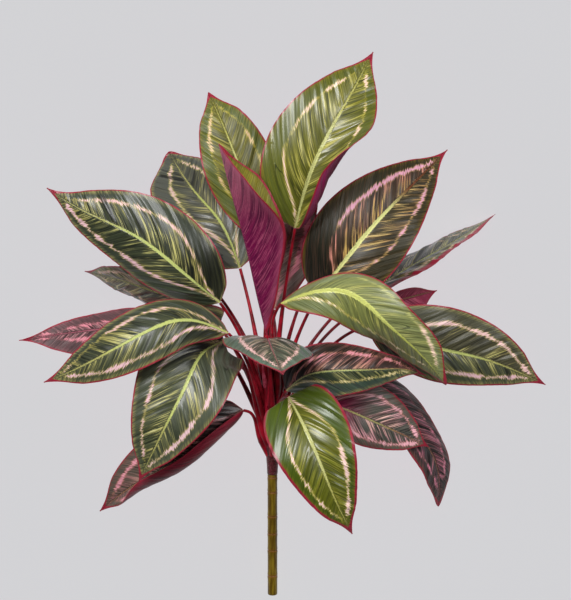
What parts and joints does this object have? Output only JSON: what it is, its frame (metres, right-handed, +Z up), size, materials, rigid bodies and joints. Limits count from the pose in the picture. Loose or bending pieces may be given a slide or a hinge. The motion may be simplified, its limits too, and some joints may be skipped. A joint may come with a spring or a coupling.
{
  "type": "artificial calathea bush with bare pick stem",
  "caption": "Artificial houseplant bush lying on its back: broad printed leaves on thin red stalks that gather in a bundle, with a jointed pick stem to push into a pot or vase.",
  "frame": {"origin": "on the surface the bush lies on, below the middle of its outline seen from above", "axes": "+Z up from the surface, which is the side the leaves' front faces; +Y from the stem's cut end to the crown's top; +X to the right seen from above with the stem towards the viewer"},
  "size_m": [0.4944, 0.5045, 0.2044],
  "materials": {
    "leaf_print": "coated cloth, printed, semi-gloss",
    "red_stalk": "satin, moulded",
    "maroon_plastic": "satin, moulded",
    "olive_plastic": "satin, moulded"
  },
  "bodies": {
    "root": {"leaf_back_centre": "leaf_print", "leaf_bottom_centre": "leaf_print", "leaf_far_lower_right": "leaf_print", "leaf_front_small": "leaf_print", "leaf_hidden_bottom": "leaf_print", "leaf_hidden_left": "leaf_print", "leaf_hidden_lower_left": "leaf_print", "leaf_hidden_right": "leaf_print", "leaf_left_edge_on": "leaf_print", "leaf_left_far": "leaf_print", "leaf_left_high": "leaf_print", "leaf_left_low": "leaf_print", "leaf_lower_left": "leaf_print", "leaf_lower_right": "leaf_print", "leaf_lowest_left": "leaf_print", "leaf_right_arched": "leaf_print", "leaf_right_back": "leaf_print", "leaf_right_edge_on": "leaf_print", "leaf_right_far": "leaf_print", "leaf_right_folded": "leaf_print", "leaf_right_high": "leaf_print", "leaf_rolled_front": "leaf_print", "leaf_top_left": "leaf_print", "leaf_top_right": "leaf_print", "leaf_upper_left": "leaf_print", "pick_stem": "olive_plastic", "stalk_back_centre": "red_stalk", "stalk_bottom_centre": "red_stalk", "stalk_bundle": "red_stalk", "stalk_far_lower_right": "red_stalk", "stalk_front_small": "red_stalk", "stalk_hidden_bottom": "red_stalk", "stalk_hidden_left": "red_stalk", "stalk_hidden_lower_left": "red_stalk", "stalk_hidden_right": "red_stalk", "stalk_left_edge_on": "red_stalk", "stalk_left_far": "red_stalk", "stalk_left_high": "red_stalk", "stalk_left_low": "red_stalk", "stalk_lower_left": "red_stalk", "stalk_lower_right": "red_stalk", "stalk_lowest_left": "red_stalk", "stalk_right_arched": "red_stalk", "stalk_right_back": "red_stalk", "stalk_right_edge_on": "red_stalk", "stalk_right_far": "red_stalk", "stalk_right_folded": "red_stalk", "stalk_right_high": "red_stalk", "stalk_rolled_front": "red_stalk", "stalk_top_left": "red_stalk", "stalk_top_right": "red_stalk", "stalk_upper_left": "red_stalk", "stem_collar": "maroon_plastic"}
  },
  "joints": []
}
